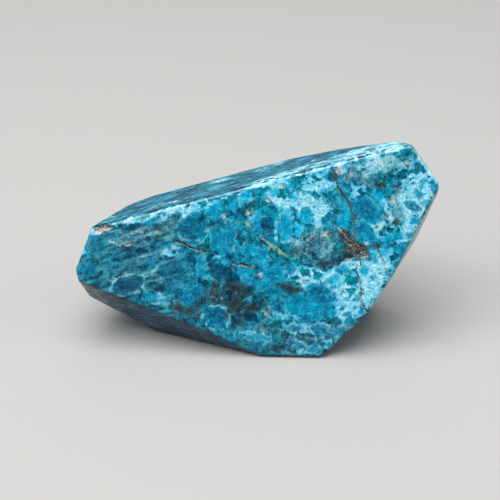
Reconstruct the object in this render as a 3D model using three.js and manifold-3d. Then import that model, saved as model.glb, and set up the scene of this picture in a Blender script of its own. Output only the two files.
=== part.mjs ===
// A polished freeform of massive blue apatite: one palm-sized piece of stone, ground by hand into
// flat facets with softly rounded edges. It stands on a ground facet, and its left end overhangs.
// Millimetres, +Z up, +X along the stone's length, and -Y towards the broad front facet.

import * as THREE from 'three';
import { ConvexGeometry } from 'three/addons/geometries/ConvexGeometry.js';
import { mergeVertices } from 'three/addons/utils/BufferGeometryUtils.js';
import Module from 'manifold-3d';

const wasm = await Module();
wasm.setup();

// Driving dimensions
const HEART_HEIGHT = 22;
const EDGE_RADIUS = 1.2;
const EDGE_FLATS = 6;
const CRACK_DEPTH = 0.6;
const CRACK_RISE_OUT = 0.5;
const PIT_ROUGHNESS = 0.16;
const PIT_DETAIL = 2;

// Every facet is a plane. Its outward direction is a turn about +Z from +X and a rise above level,
// in degrees, and its reach is how far it lies from the stone's heart.
const FACETS = {
  front: { turn: -93, rise: 21, reach: 18.6 },
  frontLow: { turn: -92, rise: 10, reach: 22.3 },
  under: { turn: -116, rise: -38, reach: 31.4 },
  base: { turn: 0, rise: -90, reach: HEART_HEIGHT },
  top: { turn: 135, rise: 68.5, reach: 17.0 },
  topRight: { turn: 133, rise: 69.5, reach: 17.7 },
  rightUp: { turn: 18, rise: 31, reach: 46.2 },
  rightTip: { turn: -4, rise: 6, reach: 49.6 },
  right: { turn: -21, rise: -21, reach: 37.9 },
  rightMid: { turn: -20, rise: -28, reach: 35.8 },
  rightLow: { turn: -26, rise: -39, reach: 34.5 },
  left: { turn: 163, rise: 16, reach: 39.0 },
  leftLow: { turn: 179, rise: -15, reach: 46.1 },
  bottomLeft: { turn: -165, rise: -57, reach: 34.4 },
  back: { turn: 90, rise: -18, reach: 21.3 },
  backMid: { turn: 55, rise: -13, reach: 23.9 },
  backRight: { turn: 44, rise: -2, reach: 29.2 },
  backLeft: { turn: 136, rise: -25, reach: 33.1 },
  backLow: { turn: 95, rise: -33, reach: 20.7 },
};

// Chips and pits in the front facet, measured along it from the point nearest the heart: across
// is to the right and up is up the slope. Lean turns the long way, in degrees.
const PITS = [
  { across: -39.7, up: 3.2, long: 2.7, wide: 1.0, deep: 0.9, lean: 12 },
  { across: 23.7, up: 2.5, long: 2.3, wide: 1.5, deep: 0.6, lean: -25 },
  { across: 26.9, up: -0.7, long: 3.2, wide: 2.0, deep: 0.8, lean: -30 },
  { across: 33.0, up: 15.4, long: 1.1, wide: 0.8, deep: 0.9, lean: 60 },
  { across: 37.1, up: 6.6, long: 0.9, wide: 0.7, deep: 0.7, lean: 20 },
];

// Open cracks in the front facet, as points across and up it from end to end.
const CRACKS = [
  { width: 0.45, path: [[-20.4, 0.7], [-18.3, 0], [-17.1, -0.9], [-15.5, -1.5], [-12.4, -2.1]] },
  { width: 0.55, path: [[-5.2, -5.1], [-3.3, -5.3], [-1.1, -5.6]] },
  { width: 0.4, path: [[19.3, 21.4], [20.7, 17.5], [21.6, 14.9], [23.9, 11.9], [25.7, 8], [26.3, 3.8], [26.2, 1]] },
  { width: 0.35, path: [[27.2, -2.4], [27.7, -4.6], [27.4, -5.6]] },
  { width: 0.4, path: [[26.7, -5.6], [27.2, -7.9], [28.1, -11.4], [28.1, -13.2], [28.6, -15.3], [30.3, -17.6]] },
  { width: 0.3, path: [[31, 0.5], [32.1, -0.3], [33, -2.3], [33.8, -3.9], [34.8, -7.4]] },
];

const heart = new THREE.Vector3(0, 0, HEART_HEIGHT);

function facetDirection({ turn, rise }) {
  const level = Math.cos(THREE.MathUtils.degToRad(rise));
  const angle = THREE.MathUtils.degToRad(turn);
  const height = Math.sin(THREE.MathUtils.degToRad(rise));
  return new THREE.Vector3(level * Math.cos(angle), level * Math.sin(angle), height);
}

// The solid is a smaller stone with sharp edges, grown again by the edge radius. Each sharp corner
// is where three inset facets meet inside all the others.
function sharpCorners(planes) {
  const corners = [];
  planes.forEach((first, i) => {
    planes.slice(i + 1).forEach((second, j) => {
      planes.slice(i + j + 2).forEach((third) => {
        const crossed = new THREE.Vector3().crossVectors(second.normal, third.normal);
        const volume = first.normal.dot(crossed);
        if (Math.abs(volume) < 1e-6) return;
        const point = crossed.multiplyScalar(-first.constant);
        point.addScaledVector(new THREE.Vector3().crossVectors(third.normal, first.normal), -second.constant);
        point.addScaledVector(new THREE.Vector3().crossVectors(first.normal, second.normal), -third.constant);
        point.divideScalar(volume);
        if (planes.every((plane) => plane.distanceToPoint(point) < 1e-6)) {
          corners.push({ point, directions: [first.normal, second.normal, third.normal] });
        }
      });
    });
  });
  return corners;
}

// A corner's share of the ball that rolls over the stone, in even steps between its three facets.
function roundedCorner({ point, directions }) {
  const points = [];
  for (let i = 0; i <= EDGE_FLATS; i += 1) {
    for (let j = 0; j <= EDGE_FLATS - i; j += 1) {
      const out = new THREE.Vector3();
      out.addScaledVector(directions[0], i);
      out.addScaledVector(directions[1], j);
      out.addScaledVector(directions[2], EDGE_FLATS - i - j);
      points.push(out.setLength(EDGE_RADIUS).add(point));
    }
  }
  return points;
}

function groundStone() {
  const inset = Object.values(FACETS).map((facet) => {
    const normal = facetDirection(facet);
    const onFacet = heart.clone().addScaledVector(normal, facet.reach - EDGE_RADIUS);
    return new THREE.Plane().setFromNormalAndCoplanarPoint(normal, onFacet);
  });
  return new ConvexGeometry(sharpCorners(inset).flatMap(roundedCorner));
}

// The front facet's own frame: X across it, Y up it and Z out of it.
function frontFrame() {
  const out = facetDirection(FACETS.front);
  const across = new THREE.Vector3(0, 0, 1).cross(out).normalize();
  const up = new THREE.Vector3().crossVectors(out, across);
  const frame = new THREE.Matrix4().makeBasis(across, up, out);
  return frame.setPosition(heart.clone().addScaledVector(out, FACETS.front.reach));
}

function pit({ across, up, long, wide, deep, lean }) {
  const geometry = new THREE.IcosahedronGeometry(1, PIT_DETAIL);
  const position = geometry.getAttribute('position');
  const point = new THREE.Vector3();
  for (let i = 0; i < position.count; i += 1) {
    point.fromBufferAttribute(position, i);
    const lumps = Math.sin(4 * point.x + 3 * point.y + across) * Math.cos(5 * point.z - 3 * point.x);
    point.multiplyScalar(1 + PIT_ROUGHNESS * lumps);
    position.setXYZ(i, point.x, point.y, point.z);
  }
  geometry.scale(long, wide, deep);
  geometry.rotateZ(THREE.MathUtils.degToRad(lean));
  geometry.translate(across, up, 0);
  return geometry;
}

// A crack is a narrow slot that runs out to a point at both ends.
function crack({ width, path }) {
  const points = path.map(([across, up]) => new THREE.Vector2(across, up));
  const last = points.length - 1;
  const side = (point, i, sign) => {
    const along = points[Math.min(i + 1, last)].clone().sub(points[Math.max(i - 1, 0)]).normalize();
    const half = i === 0 || i === last ? 0 : (sign * width) / 2;
    return new THREE.Vector2(point.x - along.y * half, point.y + along.x * half);
  };
  const leftSide = points.map((point, i) => side(point, i, 1));
  const rightSide = points.slice(1, last).map((point, i) => side(point, i + 1, -1)).reverse();
  const outline = new THREE.Shape([...leftSide, ...rightSide]);
  const depth = CRACK_DEPTH + CRACK_RISE_OUT;
  const geometry = new THREE.ExtrudeGeometry(outline, { depth, bevelEnabled: false });
  return geometry.translate(0, 0, -CRACK_DEPTH);
}

function toSolid(geometry) {
  geometry.deleteAttribute('normal');
  geometry.deleteAttribute('uv');
  const merged = mergeVertices(geometry);
  return new wasm.Manifold(new wasm.Mesh({
    numProp: 3,
    vertProperties: new Float32Array(merged.getAttribute('position').array),
    triVerts: new Uint32Array(merged.getIndex().array),
  }));
}

function toGeometry(solid) {
  const mesh = solid.getMesh();
  const geometry = new THREE.BufferGeometry();
  geometry.setAttribute('position', new THREE.BufferAttribute(mesh.vertProperties, 3));
  geometry.setIndex(new THREE.BufferAttribute(mesh.triVerts, 1));
  geometry.computeVertexNormals();
  return geometry;
}

// The ground stone, with its chips, pits and cracks cut into the front facet.
function apatiteGeometry() {
  const frame = frontFrame();
  const cuts = [...PITS.map(pit), ...CRACKS.map(crack)];
  const stone = cuts.reduce(
    (solid, cut) => solid.subtract(toSolid(cut.applyMatrix4(frame))),
    toSolid(groundStone()),
  );
  return toGeometry(stone);
}

// The origin is under the middle of the stone, on the surface that it stands on.
const geometry = apatiteGeometry();
geometry.computeBoundingBox();
const middle = geometry.boundingBox.getCenter(new THREE.Vector3());
geometry.translate(-middle.x, -middle.y, -geometry.boundingBox.min.z);

const polishedApatite = new THREE.MeshStandardMaterial({ color: 0x2a86ab, roughness: 0.25, metalness: 0 });
const apatite = new THREE.Mesh(geometry, polishedApatite);
apatite.name = 'apatite';

const stone = new THREE.Group();
stone.add(apatite);

export default stone;
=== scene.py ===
"""A polished freeform of massive blue apatite, standing on its ground base on a pale floor."""

import math

import bmesh
import bpy
import numpy as np
from mathutils import Matrix, Vector, noise


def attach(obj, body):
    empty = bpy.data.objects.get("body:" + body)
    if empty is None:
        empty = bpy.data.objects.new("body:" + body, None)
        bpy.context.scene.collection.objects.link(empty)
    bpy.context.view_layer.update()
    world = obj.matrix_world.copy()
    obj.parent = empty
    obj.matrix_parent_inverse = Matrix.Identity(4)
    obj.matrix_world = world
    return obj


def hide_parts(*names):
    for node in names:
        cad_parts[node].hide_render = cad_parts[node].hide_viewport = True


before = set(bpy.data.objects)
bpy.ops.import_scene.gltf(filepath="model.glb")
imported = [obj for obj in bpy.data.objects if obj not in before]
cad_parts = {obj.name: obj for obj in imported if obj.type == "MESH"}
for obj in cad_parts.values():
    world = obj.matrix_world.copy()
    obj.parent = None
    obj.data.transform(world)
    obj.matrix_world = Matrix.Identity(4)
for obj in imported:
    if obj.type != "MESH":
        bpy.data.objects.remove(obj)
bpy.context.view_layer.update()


# The stone is one chunk of massive blue apatite, cut and sanded by hand into flat facets and then
# polished. Its edges are softly rounded, and its softer pockets polished into pits and open cracks.
# All its markings are laid out in millimetres on the front facet: across to the right, up the slope.
HEART = Vector((0.0, 0.2, 22.0))
FRONT_TURN = math.radians(-93)
FRONT_RISE = math.radians(21)
FRONT_REACH = 18.6
MM = 0.001

front_out = Vector((
    math.cos(FRONT_TURN) * math.cos(FRONT_RISE),
    math.sin(FRONT_TURN) * math.cos(FRONT_RISE),
    math.sin(FRONT_RISE),
))
front_across = Vector((0, 0, 1)).cross(front_out).normalized()
front_up = front_out.cross(front_across)
front_foot = HEART + front_out * FRONT_REACH

# Open cracks, as points along each, and how wide they gape.
CRACKS = [
    (0.40, [(-20.4, 0.7), (-19.6, 0.1), (-18.3, 0.1), (-17.1, -0.9), (-15.5, -1.5), (-14.1, -1.7),
            (-12.3, -2.2)]),
    (0.50, [(-5.4, -4.9), (-4.3, -5.4), (-3.3, -5.2), (-2.2, -5.3), (-1.1, -5.8)]),
    (0.20, [(19.4, 21.4), (20.1, 19.5), (20.7, 17.5), (21.6, 14.9), (22.8, 13.3), (23.9, 11.9),
            (24.8, 10.0), (25.7, 8.0), (26.1, 6.1), (26.4, 3.8), (26.2, 1.7)]),
    (0.24, [(27.4, -2.4), (27.7, -3.6), (27.8, -4.8)]),
    (0.22, [(26.7, -5.7), (27.1, -7.4), (27.8, -9.3), (28.2, -11.4), (28.1, -13.2), (28.6, -15.3),
            (29.4, -16.4), (30.3, -17.4)]),
    (0.14, [(31.0, 0.5), (32.1, -0.3), (33.0, -2.3), (33.8, -3.9), (34.8, -7.4)]),
]

# Pits and chips: across, up, half length, half width, depth and lean.
PITS = [
    (-39.7, 3.2, 2.7, 1.0, 0.9, 12),
    (23.7, 2.5, 2.3, 1.4, 0.5, -25),
    (26.9, -0.7, 3.2, 1.9, 0.7, -30),
    (33.0, 15.9, 0.8, 0.6, 0.8, -40),
    (36.8, 6.5, 0.8, 0.6, 0.5, 20),
]

# Big crystals: across, up, half length, half width, lean, a shade from 0, deep, to 1, light, and how
# clear the pale rim round it is.
CRYSTALS = [
    (-41.6, -0.6, 3.0, 2.3, -35, 0.46, 0.0),
    (-39.9, -1.6, 1.6, 1.4, -40, 0.20, 0.0),
    (-43.6, -3.0, 1.3, 1.2, 0, 0.68, 0.0),
    (-43.0, -7.6, 2.4, 1.7, -15, 0.48, 0.0),
    (-45.6, -7.6, 0.8, 1.3, 0, 0.74, 0.0),
    (-41.2, -10.2, 1.8, 0.9, -10, 0.14, 0.0),
    (-37.4, -6.4, 2.6, 1.5, -20, 0.46, 0.0),
    (-36.0, -4.3, 1.3, 0.7, 40, 0.16, 0.0),
    (-32.8, -11.3, 4.4, 2.4, 20, 0.2, 0.9),
    (-30.6, -13.9, 1.0, 0.7, 0, 0.22, 0.0),
    (-27.2, 5.0, 1.9, 0.9, 12, 0.66, 0.0),
    (-24.8, 0.8, 1.6, 0.8, -10, 0.22, 0.0),
    (-24.0, -0.6, 3.4, 0.8, 8, 0.48, 0.0),
    (-26.6, -5.4, 1.7, 1.2, 30, 0.52, 0.0),
    (-22.0, -7.0, 3.4, 1.8, 15, 0.30, 0.0),
    (-21.0, -11.6, 2.0, 1.4, 30, 0.42, 0.0),
    (-19.4, -13.4, 1.5, 1.2, 0, 0.26, 0.0),
    (-27.0, -14.2, 2.6, 1.4, -20, 0.58, 0.2),
    (-23.0, -15.8, 2.2, 1.0, -10, 0.56, 0.4),
    (-17.2, -4.6, 2.6, 0.9, 5, 0.22, 0.0),
    (-17.6, -2.0, 2.0, 1.0, 5, 0.40, 0.0),
    (-15.9, 4.1, 4.2, 3.9, 60, 0.40, 0.5),
    (-13.9, 6.4, 1.7, 1.4, 30, 0.16, 0.0),
    (-10.9, 8.9, 1.3, 1.9, -15, 0.68, 0.0),
    (-8.9, 8.9, 1.0, 1.7, -15, 0.56, 0.0),
    (-5.5, 9.6, 1.2, 1.0, 0, 0.66, 0.0),
    (-2.4, 12.2, 2.2, 1.1, 15, 0.80, 0.0),
    (-6.5, 2.5, 1.8, 2.2, 0, 0.46, 0.0),
    (-9.6, 0.8, 1.6, 1.8, 0, 0.48, 0.0),
    (-8.0, -1.6, 2.6, 1.4, -10, 0.58, 0.0),
    (-13.4, -6.6, 1.2, 3.4, 3, 0.56, 0.3),
    (-15.3, -13.3, 1.6, 3.2, -28, 0.44, 0.0),
    (-17.8, -14.4, 1.6, 2.0, 0, 0.57, 0.0),
    (-10.9, -4.7, 1.2, 0.9, 0, 0.16, 0.0),
    (-8.6, -7.4, 3.6, 2.3, -12, 0.20, 0.3),
    (-5.2, -8.6, 2.2, 1.6, -30, 0.10, 0.0),
    (-7.6, -4.6, 1.6, 0.6, 5, 0.74, 0.0),
    (-3.2, -7.2, 1.5, 1.2, 0, 0.54, 0.0),
    (-1.4, -8.5, 1.2, 0.8, 0, 0.72, 0.0),
    (2.3, -2.5, 2.1, 2.1, 10, 0.62, 0.3),
    (-1.5, -1.6, 1.8, 1.6, 0, 0.56, 0.0),
    (0.9, 4.6, 1.1, 2.6, 8, 0.52, 0.0),
    (3.5, 6.2, 1.6, 1.0, 0, 0.24, 0.2),
    (3.6, 4.6, 1.7, 1.1, 4, 0.10, 0.2),
    (3.8, 3.0, 1.5, 1.2, 0, 0.20, 0.2),
    (4.0, 1.6, 1.5, 1.2, 0, 0.44, 0.0),
    (8.1, 4.6, 1.9, 3.6, 2, 0.64, 0.8),
    (11.2, 4.0, 0.9, 3.0, -10, 0.74, 0.4),
    (12.9, 7.6, 1.7, 1.9, 20, 0.68, 0.0),
    (10.6, 12.4, 1.0, 0.8, 0, 0.80, 0.0),
    (5.2, 13.8, 1.4, 0.9, 0, 0.78, 0.0),
    (9.2, 15.6, 1.2, 0.8, 0, 0.72, 0.0),
    (5.6, -7.4, 2.8, 2.4, -20, 0.52, 0.0),
    (1.5, -10.0, 3.6, 0.8, 5, 0.61, 0.0),
    (5.4, -12.6, 2.2, 2.6, 15, 0.54, 0.0),
    (9.6, -6.4, 1.3, 1.6, 0, 0.46, 0.0),
    (-9.4, -19.4, 3.2, 3.0, 0, 0.42, 1.0),
    (-11.2, -19.2, 1.2, 2.2, 0, 0.24, 0.0),
    (-0.8, -18.6, 1.8, 1.8, 0, 0.08, 0.0),
    (6.4, -16.4, 1.6, 1.4, 0, 0.40, 0.0),
    (-3.4, -23.9, 1.6, 1.0, -8, 0.62, 0.3),
    (1.4, -24.6, 3.2, 1.1, -12, 0.62, 0.5),
    (-6.0, -24.8, 1.6, 0.7, 0, 0.46, 0.0),
    (17.8, -12.6, 4.4, 2.3, -22, 0.46, 0.5),
    (15.6, -10.8, 2.2, 1.2, 0, 0.54, 0.4),
    (12.4, -15.6, 4.4, 2.8, -10, 0.62, 0.5),
    (18.2, -16.8, 3.6, 1.9, 0, 0.58, 0.3),
    (14.6, -19.2, 2.8, 1.3, 5, 0.44, 0.0),
    (29.0, 9.6, 4.6, 2.7, -42, 0.50, 0.4),
    (27.0, 11.6, 1.8, 1.2, 0, 0.52, 0.0),
    (23.1, 7.6, 1.7, 2.7, -15, 0.66, 0.0),
    (28.4, 4.2, 2.9, 2.0, -20, 0.48, 0.4),
    (29.4, 1.7, 2.0, 0.8, 0, 0.62, 0.0),
    (32.0, 13.3, 1.6, 1.4, -50, 0.72, 0.0),
    (33.0, 10.9, 0.7, 1.9, 5, 0.68, 0.0),
    (42.1, 14.0, 1.7, 1.2, -30, 0.52, 0.0),
    (41.1, 10.6, 2.4, 1.2, -28, 0.40, 0.0),
    (46.0, 16.0, 1.3, 2.1, 8, 0.48, 0.0),
    (43.6, 17.4, 1.2, 0.7, 20, 0.60, 0.0),
    (41.6, 6.8, 1.5, 1.0, 30, 0.52, 0.0),
    (40.2, 3.5, 1.1, 0.9, 0, 0.46, 0.0),
    (42.2, 3.4, 0.7, 0.8, 0, 0.50, 0.0),
    (44.0, 11.6, 1.1, 0.8, 0, 0.54, 0.0),
    (31.6, 2.0, 1.5, 1.1, -10, 0.54, 0.0),
    (34.8, 1.7, 1.3, 1.5, 0, 0.56, 0.0),
    (34.3, -0.2, 1.2, 0.7, 0, 0.40, 0.0),
    (38.6, -0.4, 2.7, 1.1, 12, 0.54, 0.0),
    (37.4, -4.6, 1.3, 1.2, 35, 0.50, 0.0),
    (28.6, -6.2, 1.2, 1.5, 10, 0.64, 0.0),
    (31.5, -3.6, 0.8, 0.8, 0, 0.62, 0.0),
    (31.0, -1.9, 0.8, 0.6, 0, 0.68, 0.0),
    (33.2, -1.8, 0.7, 0.8, 0, 0.67, 0.0),
    (30.2, -8.6, 1.0, 0.3, 35, 0.48, 0.0),
    (32.6, -9.2, 0.5, 0.3, 40, 0.48, 0.0),
    (23.2, -6.1, 2.0, 1.1, 15, 0.58, 0.0),
    (20.6, -8.7, 1.8, 1.0, 20, 0.72, 0.0),
    (26.3, -14.0, 1.1, 0.5, 20, 0.62, 0.0),
    (24.2, -13.6, 0.7, 0.5, 0, 0.67, 0.0),
    (31.1, -13.5, 0.9, 0.6, 30, 0.56, 0.0),
    (30.3, -15.7, 0.5, 0.7, -10, 0.62, 0.0),
    (28.3, -17.0, 0.9, 0.7, 0, 0.56, 0.0),
    (24.6, -17.8, 1.4, 0.8, 15, 0.46, 0.0),
    (26.2, -15.9, 1.0, 0.6, 20, 0.62, 0.0),
    (21.6, -14.9, 1.4, 0.5, 15, 0.72, 0.0),
    (22.8, -22.0, 2.4, 1.0, 25, 0.46, 0.4),
    (19.9, -23.6, 1.5, 1.1, 10, 0.42, 0.4),
    (17.4, -21.4, 2.2, 1.0, 0, 0.48, 0.4),
    (11.4, -21.8, 2.2, 0.9, 0, 0.52, 0.4),
    (15.9, -27.6, 1.8, 0.9, 5, 0.48, 0.4),
    (12.4, -26.7, 1.5, 1.0, 10, 0.48, 0.5),
    (20.4, -26.0, 1.0, 0.8, 20, 0.48, 0.3),
    (10.6, -25.2, 1.3, 0.8, -10, 0.48, 0.4),
]

# Pale matrix, soft-edged: across, up, half length, half width, lean and strength.
PALE = [
    # The first six run along the front's rounded top edge: pale matrix there, with a painted highlight on
    # the rounding laid over it.
    (-30.5, 5.4, 6.5, 0.9, 14, 0.9),
    (-20.0, 8.3, 8.5, 1.3, 15, 1.0),
    (-8.0, 11.8, 6.0, 0.5, 17, 0.7),
    (3.5, 15.4, 5.0, 0.8, 12, 1.0),
    (14.0, 18.6, 7.0, 0.6, 17, 0.8),
    (30.0, 23.6, 12.0, 0.8, 16, 0.8),
    (-22.0, -2.4, 3.4, 1.5, 12, 0.7),
    (-42.4, 2.2, 1.2, 0.9, -20, 0.9),
    (-36.6, -0.8, 2.0, 0.5, -25, 0.7),
    (-44.6, -2.6, 0.6, 1.0, 0, 0.6),
    (9.5, 11.6, 6.0, 3.0, -8, 1.0),
    (4.0, 11.6, 2.4, 1.8, 0, 0.6),
    (14.4, 11.2, 3.6, 3.0, 0, 1.1),
    (17.2, 8.4, 2.4, 4.8, 0, 0.95),
    (16.4, 16.2, 5.6, 3.2, 15, 0.85),
    (21.6, 19.8, 1.1, 2.0, -15, 1.0),
    (27.2, 14.9, 3.8, 1.6, 5, 0.8),
    (10.2, 0.2, 2.4, 0.9, 5, 0.8),
    (6.1, 3.0, 0.5, 3.6, -5, 0.6),
    (32.6, 5.0, 2.2, 1.6, -40, 0.95),
    (34.4, 8.6, 0.9, 4.6, 15, 0.9),
    (41.0, 12.8, 5.0, 7.0, -35, 0.95),
    (41.5, 18.2, 3.4, 0.6, 22, 1.0),
    (37.8, 1.6, 2.6, 0.6, 6, 1.0),
    (39.5, 5.0, 3.0, 2.6, 0, 0.9),
    (26.0, -4.6, 3.8, 1.3, 8, 1.0),
    (31.5, -6.4, 5.0, 5.4, 0, 0.9),
    (29.6, -12.0, 5.4, 4.4, 0, 1.1),
    (24.4, -11.2, 2.8, 4.4, -35, 1.0),
    (25.4, -16.6, 5.0, 2.4, 38, 0.8),
    (16.0, -7.6, 6.6, 2.2, 3, 0.95),
    (12.2, -9.2, 2.2, 1.1, -20, 0.8),
    (7.0, -18.9, 3.6, 1.2, 0, 0.6),
    (18.0, -24.8, 7.0, 2.6, 15, 0.5),
    (12.0, -28.0, 6.0, 1.2, 4, 0.6),
    (2.0, -21.6, 3.0, 1.4, -15, 0.45),
    (-1.5, -13.9, 1.3, 0.8, 0, 0.6),
    (-6.9, -20.0, 0.5, 1.8, 10, 0.9),
    (-7.6, -16.6, 1.2, 0.6, 0, 0.5),
    (-2.0, 8.4, 2.8, 2.4, 0, 0.4),
    (-8.2, 7.4, 1.0, 1.6, 0, 0.45),
    (-9.6, -3.6, 1.6, 0.6, 0, 0.6),
    (-2.4, -8.0, 1.2, 0.6, 0, 0.5),
    (31.0, 21.6, 6.0, 2.8, 14, 1.0),
    (39.0, 21.4, 4.0, 2.6, 14, 0.65),
    (18.6, -0.6, 3.0, 1.8, 15, 0.8),
    (13.6, 1.6, 3.0, 1.2, 20, 0.6),
    (12.0, -21.5, 9.0, 3.6, -4, 0.42),
    (2.0, -24.0, 7.0, 1.8, -12, 0.4),
    (-24.5, -14.4, 4.6, 2.0, -12, 0.45),
    (-13.0, -4.6, 2.4, 4.2, 0, 0.3),
    (-25.0, -2.8, 5.4, 1.5, 12, 0.35),
]

# Fine healed seams, as points along each, with a width and a strength.
SEAMS = [
    (0.35, 0.8, [(-33.2, -14.0), (-30.6, -13.2), (-29.4, -11.6), (-27.6, -9.2), (-25.0, -6.6)]),
    (0.8, 0.45, [(-37.0, -10.2), (-34.6, -8.9), (-31.0, -8.0)]),
    (0.25, 0.8, [(-19.0, 1.4), (-17.8, 0.9), (-16.2, 0.6), (-14.4, 0.8)]),
    (0.3, 0.6, [(-4.6, 3.2), (-4.9, 0.6), (-5.3, -2.0)]),
    (0.35, 0.5, [(-2.4, 3.0), (-2.7, 1.4), (-2.5, 0.0)]),
    (0.4, 0.6, [(-0.9, 13.0), (-1.2, 10.6), (-0.8, 9.0)]),
    (0.4, 0.4, [(-12.6, 3.0), (-11.2, 4.2), (-9.6, 5.2)]),
    (0.3, 0.6, [(4.3, -0.4), (4.2, -2.0), (4.4, -3.8)]),
    (0.3, 0.7, [(-12.2, -9.8), (-12.4, -7.6), (-11.6, -5.6)]),
    (0.3, 0.6, [(-27.0, -16.2), (-24.5, -15.9), (-22.0, -16.1)]),
    (0.3, 0.6, [(10.0, -20.2), (14.0, -21.0), (18.0, -20.4), (26.0, -21.2)]),
    (0.6, 0.9, [(38.6, 17.2), (41.0, 17.9), (43.0, 18.8), (45.0, 19.6)]),
]

# Grey-green granular matrix: across, up, half length, half width, lean and strength.
GRANULAR = [
    (-29.5, 1.0, 8.5, 3.8, 12, 0.75),
    (-29.0, -4.4, 8.5, 2.6, 12, 0.55),
    (-34.5, -8.4, 5.0, 1.8, 15, 0.5),
    (-24.0, -10.5, 6.5, 2.6, 10, 0.55),
    (-19.0, -8.0, 4.0, 2.6, 10, 0.4),
    (-22.5, 4.4, 3.0, 2.2, 0, 0.9),
    (-11.0, -12.6, 5.5, 2.6, 35, 0.9),
    (-9.0, -14.6, 5.5, 2.2, 10, 0.9),
    (-4.0, -12.6, 5.0, 2.2, 0, 0.95),
    (-3.2, -17.6, 3.4, 4.6, 0, 0.95),
    (-16.5, -18.6, 5.5, 1.8, -22, 0.8),
    (3.4, -17.2, 3.0, 2.6, -40, 0.7),
    (3.0, -21.8, 4.6, 1.8, -12, 0.6),
    (16.4, 0.6, 7.4, 3.4, 12, 1.0),
    (19.0, -3.6, 5.5, 1.9, 0, 1.0),
    (33.0, 20.4, 11.0, 3.9, 13, 0.62),
    (24.0, 18.6, 2.6, 3.0, 0, 0.9),
    (28.4, 17.6, 5.6, 2.0, 0, 0.75),
    (36.4, 12.6, 1.5, 4.2, 4, 0.95),
    (36.8, 8.2, 2.2, 1.6, 0, 0.95),
    (20.8, 9.6, 1.2, 4.4, 0, 0.75),
    (9.8, -11.0, 4.0, 1.7, -15, 0.95),
    (14.4, -24.4, 3.4, 1.4, 0, 0.7),
    (-7.8, 7.0, 1.3, 1.6, 0, 0.5),
    (-1.8, 8.6, 1.3, 2.4, 10, 0.5),
    (-5.0, 6.0, 1.2, 0.9, 0, 0.6),
    (9.0, -28.0, 4.0, 1.6, 0, 0.7),
]

# Rusty brown and black specks, same figures.
BROWN = [
    (23.7, 2.4, 2.2, 1.6, -40, 1.2),
    (26.6, -0.4, 3.6, 2.0, -30, 1.2),
    (24.6, -2.2, 2.0, 1.2, 0, 1.0),
    (31.6, 0.4, 1.3, 0.5, -10, 0.9),
    (-39.4, 4.2, 3.4, 0.35, 14, 1.2),
    (-37.4, 3.2, 0.8, 0.6, 0, 1.1),
    (-24.6, 3.4, 2.2, 0.7, -15, 0.8),
    (-22.0, 1.9, 1.0, 0.5, -50, 0.5),
    (-32.8, -1.0, 3.0, 0.6, 14, 0.6),
    (-20.6, -4.9, 1.2, 0.5, 5, 0.5),
    (-10.3, -11.8, 1.4, 2.4, -15, 0.82),
    (-13.7, -15.8, 2.1, 1.2, 25, 0.82),
    (-16.4, -17.8, 1.9, 1.1, 0, 0.78),
    (-19.6, -16.8, 2.7, 1.3, -20, 0.72),
    (-4.6, -11.2, 3.2, 1.2, 8, 0.85),
    (-4.8, -15.6, 2.0, 2.2, 0, 0.9),
    (-2.6, -13.4, 1.2, 0.8, 0, 0.8),
    (0.0, -16.4, 1.9, 1.1, 0, 1.1),
    (-6.6, -17.8, 1.2, 1.6, 0, 0.8),
    (-3.6, -20.2, 1.6, 1.2, 0, 0.7),
    (6.4, -27.0, 1.6, 1.2, 0, 0.7),
    (2.2, -14.8, 0.7, 0.4, -20, 0.8),
    (-1.5, -12.6, 1.1, 0.5, 0, 0.8),
    (-5.0, -21.4, 0.7, 1.4, 0, 0.8),
    (8.6, -11.1, 3.2, 0.8, -12, 0.9),
    (10.8, -12.0, 1.5, 0.9, 0, 1.0),
    (4.7, -4.6, 1.5, 0.45, 12, 0.8),
    (10.6, -1.2, 2.0, 1.3, 20, 0.7),
    (15.4, 2.3, 1.4, 0.6, 20, 0.7),
    (19.0, -4.6, 2.8, 0.6, 0, 0.8),
    (20.4, 17.8, 0.8, 0.6, 0, 0.8),
    (33.0, 15.9, 0.7, 0.6, -40, 1.0),
    (31.0, 17.2, 1.4, 0.4, -15, 0.7),
    (36.7, 6.5, 0.9, 0.8, 0, 1.0),
    (35.6, 9.2, 0.7, 0.9, 0, 0.6),
    (41.8, 20.0, 1.4, 0.9, -20, 0.6),
    (7.8, -23.6, 0.7, 0.7, 0, 0.8),
    (15.4, -25.8, 1.9, 0.45, 0, 0.8),
    (6.2, 15.5, 1.0, 0.3, 0, 0.6),
    (-7.4, -22.5, 1.2, 0.6, 0, 0.5),
    (20.6, 18.2, 2.4, 0.6, -72, 0.8),
    (22.4, 14.0, 2.4, 0.6, -60, 0.85),
    (25.2, 9.6, 2.6, 0.45, -66, 0.7),
]

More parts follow.
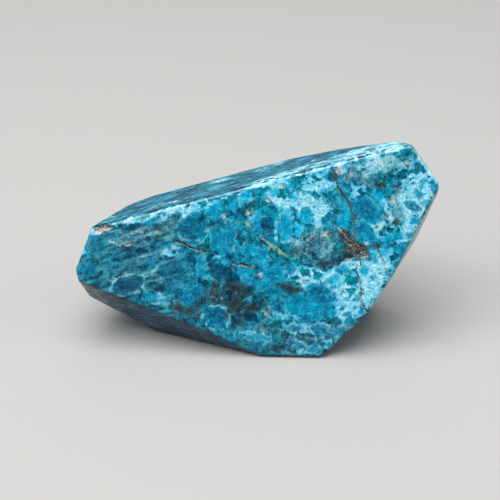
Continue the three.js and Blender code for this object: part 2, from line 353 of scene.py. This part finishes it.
# Warm white and beige spots, same figures.
WARM = [
    (-39.8, 2.9, 2.4, 0.7, 14, 1.6),
    (-36.4, -0.6, 2.0, 0.4, -25, 0.8),
    (-22.0, 7.9, 2.0, 0.6, 12, 0.7),
    (-20.4, -1.4, 1.4, 0.6, -20, 0.7),
    (-24.6, -13.2, 0.9, 0.6, 0, 0.7),
    (-32.6, -0.8, 1.6, 0.3, 16, 0.8),
    (-29.5, 2.8, 2.6, 0.6, 8, 0.5),
    (-8.1, 7.4, 0.6, 1.4, -10, 0.8),
    (-1.6, 8.6, 1.2, 1.6, 10, 0.7),
    (-9.2, -14.2, 2.0, 0.8, 0, 0.6),
    (3.7, 11.6, 1.0, 1.0, 0, 0.8),
    (6.6, 15.3, 1.2, 0.4, -10, 0.9),
    (1.6, -8.0, 1.0, 0.6, 0, 0.7),
    (0.2, -5.8, 1.2, 0.5, 0, 0.6),
    (3.6, -17.6, 1.0, 1.4, -40, 0.7),
    (21.6, 20.0, 0.8, 2.0, -12, 1.1),
    (24.2, 15.6, 0.4, 1.6, 10, 0.5),
    (18.4, 3.2, 1.6, 0.7, 0, 0.9),
    (14.6, 2.2, 1.2, 0.6, 15, 0.8),
    (34.2, 8.0, 0.5, 3.4, 15, 0.7),
    (32.4, 4.9, 1.2, 0.7, -30, 0.7),
    (23.6, -12.0, 0.4, 1.6, -30, 0.7),
    (12.6, -9.2, 1.6, 0.8, -15, 0.7),
    (25.0, 0.4, 0.9, 0.5, 30, 0.9),
    (27.8, -1.6, 0.7, 0.4, 0, 0.9),
    (24.8, -3.2, 1.4, 0.5, 10, 1.0),
    (22.2, 4.0, 1.0, 0.5, -40, 0.9),
    (29.4, 0.9, 0.9, 0.5, -30, 1.0),
    (28.6, -2.6, 1.2, 0.4, 20, 0.9),
    (26.2, 1.0, 0.6, 0.4, 0, 0.9),
    (-13.2, -18.6, 0.8, 1.6, 0, 0.6),
]

# Where the colours are made darker, same figures.
DEEP = [
    (-40.0, -5.0, 9.0, 8.0, 0, 0.45),
    (-30.0, -7.0, 12.0, 6.0, 15, 0.5),
    (-20.0, -12.0, 10.0, 6.0, 0, 0.5),
    (-17.0, -18.0, 6.0, 3.0, -20, 0.8),
    (-8.0, -8.0, 7.0, 4.0, -10, 0.4),
    (-4.0, -15.0, 8.0, 6.0, 0, 1.0),
    (16.0, -15.0, 8.0, 5.0, -15, 0.3),
    (10.0, -24.0, 14.0, 5.0, 5, 0.45),
    (21.0, -3.0, 5.0, 2.4, 0, 0.8),
    (-22.0, 3.0, 6.0, 3.0, 10, 0.4),
]

# Markings on the long top facets: what they are, across, how far behind the front facet, half
# length, half width, lean and strength.
TOP = [
    ("brown", -33.0, 8.5, 6.0, 1.6, 30, 0.8),
    ("granular", -30.0, 10.0, 8.0, 3.0, 25, 0.55),
    ("deep", -27.0, 19.0, 9.0, 6.0, 10, 0.9),
    ("pale", -20.0, 9.0, 9.0, 1.2, 10, 0.7),
    ("pale", -12.0, 16.0, 7.0, 1.0, 5, 0.7),
    ("granular", -12.0, 22.0, 9.0, 4.0, 5, 0.45),
    ("deep", -2.0, 12.0, 8.0, 3.0, 0, 0.4),
    ("pale", 4.0, 6.0, 8.0, 1.8, 5, 0.9),
    ("pale", 8.0, 3.0, 12.0, 2.4, 5, 1.0),
    ("granular", 6.0, 16.0, 7.0, 2.5, 0, 0.35),
    ("pale", 14.0, 9.0, 8.0, 2.4, 5, 1.0),
    # This broad pale patch is a painted highlight: the glare of the light on the polished top facets at the
    # right.
    ("pale", 30.0, 8.0, 12.0, 9.0, 0, 1.2),
]

# The yellow-green vein and how wide it is.
VEIN_WIDTH = 0.62
VEIN = [(-2.2, 5.6), (-0.4, 4.0), (1.2, 2.3), (2.8, 1.1), (4.1, 0.1), (5.8, -0.8), (7.4, -2.1),
        (9.0, -3.4), (11.6, -4.2)]

# The mesh is finer within FRONT_DEPTH of the front facet and within FINE_REACH of its cuts. A front
# marking fades out MARKING_DEPTH below the facet. Noise without a seed differs from run to run.
VOXEL = 0.64 * MM
FRONT_DEPTH = 4.0
FINE_REACH = 1.3
MARKING_DEPTH = 5.0
CUT_DEPTH = 2.5
CRACK_DEPTH = 0.6
POLISH_WAVE = 0.05
FAR_OFF = 9.0
NOISE_SEED = 2
MARKING_SEED = 4


def vertex_places(mesh):
    """The mesh's vertices in millimetres, one row each."""
    places = np.empty(len(mesh.vertices) * 3, np.float32)
    mesh.vertices.foreach_get("co", places)
    return places.reshape(-1, 3).astype(float) / MM


def on_front(places):
    """Places seen from the front facet: across it, up it and out of it."""
    offset = places - np.array(front_foot)
    return offset @ np.array(front_across), offset @ np.array(front_up), offset @ np.array(front_out)


def line_distance(across, up, path):
    """How far each place is from a line of points drawn on the front facet."""
    nearest = np.full(len(across), np.inf)
    for (a0, u0), (a1, u1) in zip(path, path[1:]):
        run = np.array([a1 - a0, u1 - u0])
        share = ((across - a0) * run[0] + (up - u0) * run[1]) / (run @ run)
        share = np.clip(share, 0, 1)
        gap = np.hypot(across - a0 - share * run[0], up - u0 - share * run[1])
        nearest = np.minimum(nearest, gap)
    return nearest


def patch_reach(across, up, out, patch):
    """0 at a leaning ellipse's middle and 1 at its rim, for each place."""
    middle_across, middle_up, half_length, half_width, lean = patch
    turn = math.radians(lean)
    right = across - middle_across
    above = up - middle_up
    along = right * math.cos(turn) + above * math.sin(turn)
    beside = above * math.cos(turn) - right * math.sin(turn)
    return np.sqrt((along / half_length) ** 2 + (beside / half_width) ** 2 + (out / MARKING_DEPTH) ** 2)


def wander(places, size, amount, seed):
    """A smooth random shift of each place, in three directions."""
    shift = Vector((seed, 2 * seed, 3 * seed))
    return amount * np.array([noise.noise_vector(Vector(p) / size + shift) for p in places])


# The facets' rounded shape without its cuts, meshed evenly, and finely in the front facet.
hull = bmesh.new()
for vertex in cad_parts["apatite"].data.vertices:
    hull.verts.new(vertex.co)
bmesh.ops.remove_doubles(hull, verts=hull.verts, dist=0.001 * MM)
wrapped = bmesh.ops.convex_hull(hull, input=hull.verts)
buried = dict.fromkeys(part for part in wrapped["geom_interior"] if isinstance(part, bmesh.types.BMVert))
bmesh.ops.delete(hull, geom=list(buried), context="VERTS")
hull_mesh = bpy.data.meshes.new("ground_stone")
hull.to_mesh(hull_mesh)
hull.free()
ground = bpy.data.objects.new("ground_stone", hull_mesh)
bpy.context.scene.collection.objects.link(ground)

blank = bpy.data.objects.new("blank", hull_mesh.copy())
bpy.context.scene.collection.objects.link(blank)
even = blank.modifiers.new("even", "REMESH")
even.mode = "VOXEL"
even.voxel_size = VOXEL
fitted = blank.modifiers.new("fitted", "SHRINKWRAP")
fitted.target = ground
fitted.wrap_method = "NEAREST_SURFACEPOINT"
even_mesh = bpy.data.meshes.new_from_object(blank.evaluated_get(bpy.context.evaluated_depsgraph_get()))

shape = bmesh.new()
shape.from_mesh(even_mesh)


def subdivide_where(wanted):
    """Halves the edges of the faces whose middles are wanted."""
    shape.faces.ensure_lookup_table()
    middles = np.array([face.calc_center_median() for face in shape.faces]) / MM
    chosen = np.flatnonzero(wanted(*on_front(middles)))
    edges = dict.fromkeys(edge for index in chosen for edge in shape.faces[index].edges)
    bmesh.ops.subdivide_edges(shape, edges=list(edges), cuts=1, use_grid_fill=True)


def in_front(across, up, out):
    return out > -FRONT_DEPTH


def by_cuts(across, up, out):
    near = np.zeros(len(across), bool)
    for width, path in CRACKS:
        near |= line_distance(across, up, path) < width + FINE_REACH / 2
    for *patch, depth, lean in PITS:
        near |= patch_reach(across, up, out, (*patch, lean)) < 1 + FINE_REACH / 3
    return near & (out > -2 * FINE_REACH)


subdivide_where(in_front)
subdivide_where(by_cuts)
bmesh.ops.triangulate(shape, faces=shape.faces)
stone_mesh = bpy.data.meshes.new("apatite_stone")
shape.to_mesh(stone_mesh)
shape.free()
bpy.data.objects.remove(blank)
bpy.data.objects.remove(ground)

# The cuts, the pits' rough floors and the slight waves left by hand sanding.
places = vertex_places(stone_mesh)
across, up, out = on_front(places)
noise.seed_set(NOISE_SEED)
coarse = wander(places, 4.0, 1.0, 11.0)
middling = wander(places, 1.3, 1.0, 5.0)
fine = wander(places, 0.45, 1.0, 3.0)
bent_across = across + 0.25 * middling[:, 0] + 0.12 * fine[:, 0]
bent_up = up + 0.25 * middling[:, 1] + 0.12 * fine[:, 1]
near_front = out > -CUT_DEPTH

crack_gap = np.full(len(across), FAR_OFF)
sunk = np.zeros(len(across))
for width, path in CRACKS:
    gap = line_distance(bent_across, bent_up, path) - width / 2
    crack_gap = np.minimum(crack_gap, np.where(near_front, gap, FAR_OFF))
    sunk = np.maximum(sunk, CRACK_DEPTH * np.clip(1 - (gap + width / 2) / (width * 0.9), 0, 1))
rough = np.zeros(len(across))
for middle_across, middle_up, half_length, half_width, depth, lean in PITS:
    patch = (middle_across, middle_up, half_length, half_width, lean)
    reach = patch_reach(bent_across + 0.5 * middling[:, 2], bent_up + 0.5 * fine[:, 2], out, patch)
    bowl = np.clip((1.1 - reach) / 0.5, 0, 1)
    floor_lumps = 0.75 + 0.55 * fine[:, 0] + 0.5 * middling[:, 1]
    sunk = np.maximum(sunk, depth * bowl * np.clip(floor_lumps, 0.15, 1.2))
    rough = np.maximum(rough, bowl)
sunk = np.where(near_front, sunk, 0)

normals = np.empty(len(places) * 3, np.float32)
stone_mesh.vertices.foreach_get("normal", normals)
normals = normals.reshape(-1, 3)
waves = POLISH_WAVE * (wander(places, 9.0, 1.0, 8.0)[:, 0] - 0.5)
carved = places + normals * waves[:, None] - sunk[:, None] * np.array(front_out)
stone_mesh.vertices.foreach_set("co", (carved * MM).astype(np.float32).ravel())

# Where each marking lies, kept on the mesh for the material.
chance = np.random.RandomState(MARKING_SEED)


def signed_reach(patch, spread):
    """Millimetres inside a patch's rim, below 0 outside it, with a wandering rim."""
    reach = patch_reach(across + spread[:, 0], up + spread[:, 1], out, patch)
    return (1 - reach) * min(patch[2], patch[3])


crystal = np.full(len(across), -FAR_OFF)
shade = np.full(len(across), 0.5)
rim = np.zeros(len(across))
crystal_spread = 0.6 * middling + 0.5 * coarse + 0.2 * fine
for *patch, tone, rim_strength in CRYSTALS:
    inside = signed_reach(patch, crystal_spread)
    shade = np.where(inside > crystal, tone, shade)
    rim = np.where(inside > crystal, rim_strength, rim)
    crystal = np.maximum(crystal, inside)
seam = np.zeros(len(across))
for width, strength, path in SEAMS:
    gap = line_distance(bent_across, bent_up, path)
    seam = np.maximum(seam, np.where(near_front, strength * np.clip(1.4 - gap / width, 0, 1), 0))

# The top facets are the lid. Streaks run over the lid and the front's left end. The facet under the
# overhang takes painted shade, and the rounded edge between the front and the lid a painted highlight.
rise = normals[:, 2]
lid = np.clip(5 * rise - 3.5, 0, 1)
left_end = np.clip(-(across + 15) / 8, 0, 1) * np.clip(1 + out / MARKING_DEPTH, 0, 1)
streaky = np.maximum(left_end, lid)
facing_down = np.clip(-0.3 - 3 * rise, 0, 1)
facing_front = np.clip(-2 * normals[:, 1], 0, 1)
# Painted shade and painted floor reflection go on the down-facing facet under the overhang.
underside_shade = facing_down * facing_front * np.clip((24 - across) / 8, 0, 1)
# Painted highlight: the rounded edge where the front meets the top facets.
edge_highlight = np.clip(1.3 - np.abs(rise - 0.68) / 0.2, 0, 1) * np.clip(3 + out, 0, 1)
tip = 0.5 * underside_shade * np.clip(-(across + 35) / 6, 0, 1)


def soft_cover(reach):
    """1 well inside a patch, and 0 a little way past its rim."""
    return np.clip(1.6 - reach, 0, 1.2) / 1.2


def soft_patches(patches, spread):
    """How strongly the soft-edged patches cover each place, with wandering rims."""
    cover = np.zeros(len(across))
    for *patch, strength in patches:
        reach = patch_reach(across + spread[:, 0], up + spread[:, 1], out, patch)
        cover = np.maximum(cover, strength * soft_cover(reach))
    return cover


fields = {
    "pale": soft_patches(PALE, 1.0 * middling + 1.2 * coarse),
    "granular": soft_patches(GRANULAR, 1.0 * middling + 1.4 * coarse),
    "brown": soft_patches(BROWN, 0.5 * middling + 0.25 * fine),
    "warm": np.maximum(soft_patches(WARM, 0.5 * middling + 0.3 * fine), tip),
    "deep": soft_patches(DEEP, 1.0 * middling + 1.4 * coarse),
}
vein_gap = line_distance(bent_across + 0.5 * coarse[:, 0], bent_up, VEIN)
vein_swell = 1.5 + 1.2 * coarse[:, 1] + 0.5 * middling[:, 0]
vein = np.where(near_front, np.clip(vein_swell - vein_gap / (VEIN_WIDTH / 2), 0, 1), 0)

# Away from the front facet the same markings are scattered at random through the stone: how many of
# each, and the smallest and largest. Dull ones are fainter on the top facets.
SCATTERED = {
    "crystal": (900, 1.0, 4.5),
    "pale": (110, 2.0, 8.0),
    "granular": (40, 2.0, 7.0),
    "brown": (130, 0.6, 2.6),
}
low, high = places.min(axis=0), places.max(axis=0)
inland = np.clip(-out - 1.5, 0, 3) / 3
duller = inland * np.clip(1.2 - rise, 0.35, 1)


def scattered(count, smallest, largest):
    """Random leaning ellipsoids in the stone: how far inside each one every place is, with its tone."""
    for _ in range(count):
        middle = chance.uniform(low, high)
        size = chance.uniform(smallest, largest)
        stretch = chance.uniform(0.4, 1.0, 3)
        turn = Matrix.Rotation(chance.uniform(0, math.tau), 3, Vector(chance.normal(size=3)))
        offset = (places + 0.8 * middling + 1.2 * coarse + 0.2 * fine - middle) @ np.array(turn)
        reach = np.sqrt(((offset / (size * stretch)) ** 2).sum(axis=1))
        yield reach, size, chance.uniform(0, 1)


for reach, size, tone in scattered(*SCATTERED["crystal"]):
    inside = np.where(inland > 0.3, (1 - reach) * size * 0.6, -FAR_OFF)
    shade = np.where(inside > crystal, 0.22 + 0.5 * tone, shade)
    rim = np.where(inside > crystal, 0.5 * tone, rim)
    crystal = np.maximum(crystal, inside)
for kind, share in (("pale", inland), ("granular", duller), ("brown", duller)):
    for reach, size, tone in scattered(*SCATTERED[kind]):
        fields[kind] = np.maximum(fields[kind], share * tone * soft_cover(reach))

spread = 1.0 * middling + 1.4 * coarse
for kind, middle_across, behind, *size, lean, strength in TOP:
    patch = (middle_across, behind, *size, lean)
    reach = patch_reach(across + spread[:, 0], spread[:, 1] - out, 0, patch)
    fields[kind] = np.maximum(fields[kind], strength * soft_cover(reach) * lid)

markings = {
    **fields,
    "crystal": crystal,
    "shade": shade,
    "rim": rim,
    "seam": seam,
    "vein": vein,
    "crack_gap": crack_gap,
    "rough": rough,
    "streaky": streaky,
    "underside_shade": underside_shade,
    "edge_highlight": edge_highlight,
    "lid": lid,
}
for name, values in markings.items():
    layer = stone_mesh.attributes.new(name, "FLOAT", "POINT")
    layer.data.foreach_set("value", values.astype(np.float32))
stone_mesh.shade_smooth()

stone = bpy.data.objects.new("apatite_stone", stone_mesh)
bpy.context.scene.collection.objects.link(stone)
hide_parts("apatite")
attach(stone, "root")


class Wire:
    """An output in a material's nodes. Sums and products of wires add Math nodes."""

    def __init__(self, tree, socket):
        self.tree = tree
        self.socket = socket

    def node(self, kind, settings=None, values=None, output=0):
        """Adds a node with its settings, then the values or wires of its inputs, and gives one output."""
        node = self.tree.nodes.new(kind)
        for name, setting in (settings or {}).items():
            if name == "stops":
                ramp = node.color_ramp
                for index, (place, colour) in enumerate(setting):
                    stop = ramp.elements[index] if index < 2 else ramp.elements.new(place)
                    stop.position = place
                    stop.color = (*colour, 1)
            else:
                setattr(node, name, setting)
        for name, value in (values or {}).items():
            if isinstance(value, Wire):
                self.tree.links.new(value.socket, node.inputs[name])
            else:
                node.inputs[name].default_value = value
        return Wire(self.tree, node.outputs[output])

    def math(self, operation, first, second=0.0):
        return self.node("ShaderNodeMath", {"operation": operation}, {0: first, 1: second})

    def __add__(self, other):
        return self.math("ADD", self, other)

    def __mul__(self, other):
        return self.math("MULTIPLY", self, other)

    def __sub__(self, other):
        return self.math("SUBTRACT", self, other)

    def __rsub__(self, other):
        return self.math("SUBTRACT", other, self)

    __radd__ = __add__
    __rmul__ = __mul__

    def ease(self, start, end):
        """0 where this is below start and 1 where it is past end, smoothly."""
        values = {"Value": self, "From Min": start, "From Max": end}
        return self.node("ShaderNodeMapRange", {"interpolation_type": "SMOOTHSTEP"}, values)

    def blend(self, first, second, how="MIX"):
        """The colour first where this is 0 and second where it is 1."""
        settings = {"data_type": "RGBA", "blend_type": how, "clamp_factor": True}
        return self.node("ShaderNodeMix", settings, {0: self, 6: first, 7: second}, 2)

    def ramp(self, *stops):
        return self.node("ShaderNodeValToRGB", {"stops": stops}, {0: self})


def rgb(red, green, blue):
    """A screen colour, 0 to 255, as the light that it stands for."""
    return tuple(
        share / 12.92 if share <= 0.04045 else ((share + 0.055) / 1.055) ** 2.4
        for share in (red / 255, green / 255, blue / 255)
    )


apatite = bpy.data.materials.new("polished_apatite")
apatite.use_nodes = True
nodes = apatite.node_tree.nodes
surface = nodes["Principled BSDF"]
start = Wire(apatite.node_tree, None)
here = start.node("ShaderNodeTexCoord", output="Object")
spot = start.node("ShaderNodeVectorMath", {"operation": "SCALE"}, {0: here, "Scale": 1 / MM})


def marking(name):
    """How strongly a marking kept on the mesh shows here."""
    return start.node("ShaderNodeAttribute", {"attribute_name": name}, output="Fac")


def cloud(place, size, detail=3.0, output="Fac"):
    """Smooth noise with lumps of a size in millimetres."""
    values = {"Vector": place, "Scale": 1 / size, "Detail": detail}
    return start.node("ShaderNodeTexNoise", None, values, output)


def bend(place, size, amount):
    """The place shifted by smooth noise, so that what reads it wanders."""
    shift = cloud(place, size, 2.0, "Color")
    settings = {"operation": "MULTIPLY_ADD"}
    return start.node("ShaderNodeVectorMath", settings, {0: shift, 1: (amount, amount, amount), 2: place})


def grains(place, size, feature, output):
    """Cells packed side by side, of a size in millimetres."""
    values = {"Vector": place, "Scale": 1 / size, "Randomness": 1.0}
    return start.node("ShaderNodeTexVoronoi", {"feature": feature}, values, output)


# Noise of three sizes and packed cells, which every layer of colour is built from.
soft = cloud(spot, 4.0, 4.0)
medium = cloud(spot, 1.3, 5.0)
grain = cloud(spot, 0.45, 4.0)
bent = bend(bend(spot, 3.0, 2.4), 0.8, 0.8)


def cell_edge(size):
    """How far it is to the nearest cell's rim."""
    return grains(bent, size, "DISTANCE_TO_EDGE", "Distance")


def cell_own(size):
    """A number from 0 to 1 that is each cell's own."""
    return start.node("ShaderNodeSeparateColor", None, {0: grains(bent, size, "F1", "Color")})


BIG_CELL = 2.9
SMALL_CELL = 1.25
TINY_CELL = 0.5
big_edge, big_own = cell_edge(BIG_CELL), cell_own(BIG_CELL)
small_edge, small_own = cell_edge(SMALL_CELL), cell_own(SMALL_CELL)
tiny_own = cell_own(TINY_CELL)

# Streaks follow the stone's banding, drawn out along it.
BANDING_LEAN = math.radians(-16)
BANDING_STRETCH = (6.0, 4.0, 1.0)
streak_place = start.node("ShaderNodeMapping", {"vector_type": "TEXTURE"}, {
    "Vector": spot,
    "Rotation": (0.0, BANDING_LEAN, 0.0),
    "Scale": BANDING_STRETCH,
})
streaks = cloud(streak_place, 1.1, 4.0)
streak_lift = (streaks - 0.5) * marking("streaky")
smoky = marking("streaky") - marking("lid")
calm = 1 - smoky * 0.6
lowered = marking("deep") * 0.22

# The massive blue ground, clouded, with a faint net of grain rims and a smoky haze at the left end.
GROUND_BLUES = (
    (0.0, rgb(0, 46, 70)), (0.2, rgb(0, 72, 98)), (0.4, rgb(0, 101, 127)),
    (0.6, rgb(0, 131, 160)), (0.8, rgb(0, 158, 192)), (1.0, rgb(60, 194, 220)),
)
TEAL_TINT = (0.9, 1.0, 0.78, 1)
clouding = ((medium - 0.5) * 0.7 + (tiny_own - 0.5) * 0.25) * calm + (grain - 0.5) * 0.8
ground_tone = (0.4 - lowered + clouding + ((big_own - 0.5) * 0.3 + (small_own - 0.5) * 0.28) * calm
               + (soft - 0.5) * 0.5 + streak_lift * 2.2 - marking("lid") * 0.1)
colour = ground_tone.ramp(*GROUND_BLUES)
faint_net = (1 - big_edge.ease(0.0, 0.06)) * 0.5 + (1 - small_edge.ease(0.0, 0.08)) * 0.4
colour = (faint_net * medium.ease(0.38, 0.6)).blend(colour, (*rgb(30, 164, 190), 1))
haze_share = smoky * 0.5 + 0.06 - marking("lid") * 0.06
haze = (soft * 0.6 + medium * 0.4 + streak_lift * 1.2).ease(0.44, 0.72) * haze_share
colour = haze.blend(colour, (*rgb(86, 148, 156), 1))
teal = cloud(spot, 9.0, 2.0).ease(0.42, 0.6) * 0.5
colour = teal.blend(colour, TEAL_TINT, "MULTIPLY")

# The pale matrix, with blue grains left in it, lifted along the rounded top edge by the painted highlight.
halo = (marking("crystal") + 1.0).ease(0.0, 0.8) * (1 - smoky) * 0.26
whiteness = (marking("pale") + halo + (soft - 0.5) * 0.5 + (medium - 0.5) * 0.5 + streak_lift * 1.0
             + marking("edge_highlight") * 0.5).ease(0.08, 0.98)
white_tone = ((medium - 0.5) * 0.8 + (grain - 0.5) * 0.9 + (tiny_own - 0.5) * 0.35 + whiteness * 0.72
              + marking("lid") * 0.14)
white = white_tone.ramp(
    (0.05, rgb(16, 144, 180)), (0.35, rgb(56, 168, 200)),
    (0.68, rgb(112, 192, 214)), (1.0, rgb(196, 224, 230)),
)
big_blue = ((big_own + (1 - whiteness) * 0.95 - 0.66).ease(0.0, 0.12)
            * (big_edge - whiteness * 0.08).ease(0.0, 0.08))
small_blue = ((small_own + (1 - whiteness) * 0.9 - 0.62).ease(0.0, 0.2)
              * (small_edge - whiteness * 0.12).ease(0.0, 0.1) * 0.75)
blue_left = big_blue.math("MAXIMUM", big_blue, small_blue)
white_mask = (1 - blue_left) * whiteness.ease(0.0, 0.45)
colour = white_mask.blend(colour, white)

# The grey-green granular matrix.
granule_tone = ((grain - 0.5) * 0.9 + (tiny_own - 0.5) * 0.15 + (medium - 0.5) * 1.2 * calm
                + (soft - 0.5) * 0.6 + 0.5 - lowered * 1.2 + marking("pale") * 0.3 + smoky * 0.04
                + streak_lift * 1.2)
granule = granule_tone.ramp(
    (0.1, rgb(10, 28, 34)), (0.32, rgb(24, 68, 82)), (0.52, rgb(54, 110, 126)),
    (0.72, rgb(100, 152, 160)), (0.95, rgb(168, 186, 184)),
)
granular_zone = marking("granular") + (soft - 0.5) * 0.4 + (medium - 0.5) * 1.0 + streak_lift * 1.2
granular_mask = granular_zone.ease(0.2, 1.0) * 0.8
colour = granular_mask.blend(colour, granule)

# The big crystals, each of its own shade, with fine cleavage lines inside and a pale rim on some.
CRYSTAL_BLUES = (
    (0.0, rgb(0, 44, 70)), (0.2, rgb(0, 72, 104)), (0.4, rgb(0, 102, 138)),
    (0.6, rgb(0, 132, 170)), (0.8, rgb(0, 160, 202)), (1.0, rgb(60, 196, 228)),
)
in_crystal = marking("crystal")
blurred = smoky * (1 - marking("rim"))
crystal_edge = in_crystal * (1 - blurred * 0.6) + (grain - 0.5) * 0.7 + (medium - 0.5) * 0.9
crystal_mask = crystal_edge.ease(-0.2, 0.35)
crystal_tone = (marking("shade") + 0.08 - in_crystal.ease(0.0, 1.6) * 0.16 - lowered * 0.4 + clouding * 0.7
                + (small_own - 0.5) * 0.12 + (soft - 0.5) * 0.3)
crystal_blue = (teal * 0.5).blend(crystal_tone.ramp(*CRYSTAL_BLUES), TEAL_TINT, "MULTIPLY")
inner_net = (1 - small_edge.ease(0.0, 0.07)) * medium.ease(0.4, 0.65) * (marking("shade") * 0.6 + 0.1)
crystal_blue = inner_net.blend(crystal_blue, (*rgb(96, 190, 216), 1))
colour = (crystal_mask * (0.92 - blurred * 0.25)).blend(colour, crystal_blue)
off_rim = in_crystal + (grain - 0.5) * 0.5 + 0.2
rim_gap = off_rim.math("ABSOLUTE", off_rim)
rim_mask = (1 - rim_gap.ease(0.0, 0.36)) * (marking("rim") * 0.75 + 0.1) * medium.ease(0.36, 0.58)
colour = rim_mask.blend(colour, (*rgb(120, 192, 208), 1))

# Healed seams.
seam_mask = marking("seam") * medium.ease(0.4, 0.65) * 0.6
colour = seam_mask.blend(colour, (*rgb(176, 212, 220), 1))

# Brown and black specks and the pits' stained floors.
rust_tone = ((grain - 0.5) * (0.9 + marking("rough")) + (medium - 0.5) * 1.8 + (tiny_own - 0.5) * 0.2
             + 0.42 + marking("rough") * 0.3)
rust = rust_tone.ramp(
    (0.1, rgb(4, 16, 20)), (0.35, rgb(10, 32, 38)), (0.62, rgb(34, 50, 52)), (0.9, rgb(80, 76, 66)),
    (1.0, rgb(140, 120, 96)),
)
brown_zone = marking("brown") + (medium - 0.5) * 1.8 + (grain - 0.5) * 1.2
brown_mask = brown_zone.ease(0.3, 0.95) * marking("brown").ease(0.0, 0.3) * 0.95
colour = brown_mask.blend(colour, rust)

# Painted shade and painted floor reflection under the overhang: a dark streaked sheet on the down-facing
# facet, over the stone's own streaks.
underside_shade = ((streaks - 0.5) * 2.0 + (soft - 0.5) * 1.8 + (medium - 0.5) * 0.6 + 0.54).ramp(
    (0.1, rgb(4, 22, 34)), (0.4, rgb(6, 42, 64)), (0.7, rgb(14, 70, 102)), (1.0, rgb(84, 100, 108)),
)
colour = (marking("underside_shade") * 0.9).blend(colour, underside_shade)

# Warm white spots, and the edge that wear has left pale.
beige = ((grain - 0.5) * 1.2 + (medium - 0.5) * 0.8 + 0.6).ramp(
    (0.1, rgb(96, 86, 78)), (0.4, rgb(158, 148, 138)), (0.7, rgb(204, 198, 188)), (1.0, rgb(236, 232, 226)),
)
warm_zone = marking("warm") + (medium - 0.5) * 0.9 + (grain - 0.5) * 0.8
warm_mask = warm_zone.ease(0.35, 1.1) * marking("warm").ease(0.0, 0.3) * 0.75
colour = warm_mask.blend(colour, beige)
# Warm white spots, and the painted highlight along the rounded edge between the front and the top facets.
edge_highlight_mask = (marking("edge_highlight") + (medium - 0.5) * 1.2).ease(0.3, 1.3) * 0.35
colour = edge_highlight_mask.blend(colour, (*rgb(186, 224, 234), 1))

# The yellow-green vein.
vein_zone = marking("vein") + (grain - 0.5) * 1.6 + (medium - 0.5) * 3.4
vein_mask = vein_zone.ease(0.25, 1.3) * marking("vein").ease(0.0, 0.4) * 0.7
colour = vein_mask.blend(colour, (*rgb(150, 172, 104), 1))

# Cracks are black inside and stained along both sides.
off_crack = marking("crack_gap") + (grain - 0.5) * 0.4 + (medium - 0.5) * 0.7 + 0.08
stain = (1 - off_crack.ease(0.0, 0.45)) * 0.5
colour = stain.blend(colour, (*rgb(112, 104, 100), 1))
black = 1 - off_crack.ease(-0.06, 0.06)
colour = (black * 0.9).blend(colour, (*rgb(22, 18, 16), 1))

# The polish is duller on the top facets and the softer matrix, and rougher still in the pits.
POLISH_ROUGHNESS = 0.24
APATITE_IOR = 1.63
roughness = (POLISH_ROUGHNESS + smoky * 0.08 + marking("lid") * 0.3 + granular_mask * 0.1 + brown_mask * 0.25
             + marking("rough") * 0.35 + (grain - 0.5) * 0.08)
bump = start.node("ShaderNodeBump", None, {
    "Height": white_mask * 0.3 + grain * 0.5 - granular_mask * 0.5 - brown_mask * 0.8,
    "Strength": 0.2,
    "Distance": 0.05 * MM,
}, "Normal")
links = apatite.node_tree.links
links.new(colour.socket, surface.inputs["Base Color"])
links.new(roughness.socket, surface.inputs["Roughness"])
links.new(bump.socket, surface.inputs["Normal"])
surface.inputs["IOR"].default_value = APATITE_IOR
surface.inputs["Specular IOR Level"].default_value = 0.2
stone_mesh.materials.clear()
stone_mesh.materials.append(apatite)

# A plain pale floor for the stone to rest on, with four large soft lamps round it and a long lens
# that looks down at the broad front facet.
FLOOR_HALF = 3.0
FLOOR_PAINT = (0.42, 0.41, 0.4, 1)
FLOOR_ROUGHNESS = 0.8
floor_mesh = bpy.data.meshes.new("floor")
floor_shape = bmesh.new()
bmesh.ops.create_grid(floor_shape, x_segments=1, y_segments=1, size=FLOOR_HALF)
floor_shape.to_mesh(floor_mesh)
floor_shape.free()
floor = bpy.data.objects.new("floor", floor_mesh)
bpy.context.scene.collection.objects.link(floor)
paint = bpy.data.materials.new("floor_paint")
paint.use_nodes = True
painted = paint.node_tree.nodes["Principled BSDF"]
painted.inputs["Base Color"].default_value = FLOOR_PAINT
painted.inputs["Roughness"].default_value = FLOOR_ROUGHNESS
floor_mesh.materials.append(paint)

ROOM_LIGHT = (0.95, 0.97, 1.0, 1)
ROOM_STRENGTH = 0.12
world = bpy.data.worlds.new("studio")
world.use_nodes = True
backdrop = world.node_tree.nodes["Background"]
backdrop.inputs["Color"].default_value = ROOM_LIGHT
backdrop.inputs["Strength"].default_value = ROOM_STRENGTH
bpy.context.scene.world = world


LAMP_SIZE = 1.25
LAMP_AIM = (0, 0, 0.02)


def soft_box(name, place, power):
    """A square lamp that faces the stone."""
    lamp = bpy.data.lights.new(name, "AREA")
    lamp.size = LAMP_SIZE
    lamp.energy = power
    box = bpy.data.objects.new(name, lamp)
    box.location = place
    aim = Vector(LAMP_AIM) - Vector(place)
    box.rotation_euler = aim.to_track_quat("-Z", "Y").to_euler()
    bpy.context.scene.collection.objects.link(box)


soft_box("overhead", (-0.15, -0.25, 1.12), 21.0)
soft_box("window", (-1.05, -0.7, 1.0), 10.6)
soft_box("fill", (1.25, -0.3, 0.75), 5.6)
soft_box("back", (0.12, 1.25, 1.05), 5.0)

CAMERA_PLACE = (-0.00194, -0.34499, 0.17996)
CAMERA_PITCH = 25
CAMERA_LENS = 100
CAMERA_SENSOR = 36
lens = bpy.data.cameras.new("photo_camera")
lens.lens = CAMERA_LENS
lens.sensor_width = CAMERA_SENSOR
camera = bpy.data.objects.new("photo_camera", lens)
camera.location = CAMERA_PLACE
camera.rotation_euler = (math.radians(90 - CAMERA_PITCH), 0, 0)
bpy.context.scene.collection.objects.link(camera)
bpy.context.scene.camera = camera
bpy.context.scene.view_settings.view_transform = "Standard"
